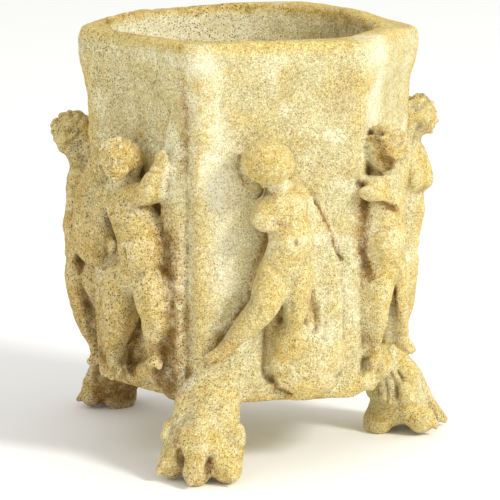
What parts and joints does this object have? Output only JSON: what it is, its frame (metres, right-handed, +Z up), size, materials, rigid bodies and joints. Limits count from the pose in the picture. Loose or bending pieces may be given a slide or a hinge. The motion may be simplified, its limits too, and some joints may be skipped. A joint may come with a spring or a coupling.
{
  "type": "garden planter",
  "caption": "Hexagonal cast-stone garden planter, open and hollow, with a child in high relief against each face, standing on lion paw feet.",
  "frame": {"origin": "The middle of the object's bounding box in plan, on the ground under its paws.", "axes": "+Z is up, out of the planter's mouth. The front paw points towards -Y and a little to +X, and the other two paws point back to either side."},
  "size_m": [0.4445, 0.4303, 0.48],
  "materials": {
    "castStone": "matte, pitted, weathered cream and ochre"
  },
  "bodies": {
    "root": {"planter": "castStone"}
  },
  "joints": []
}
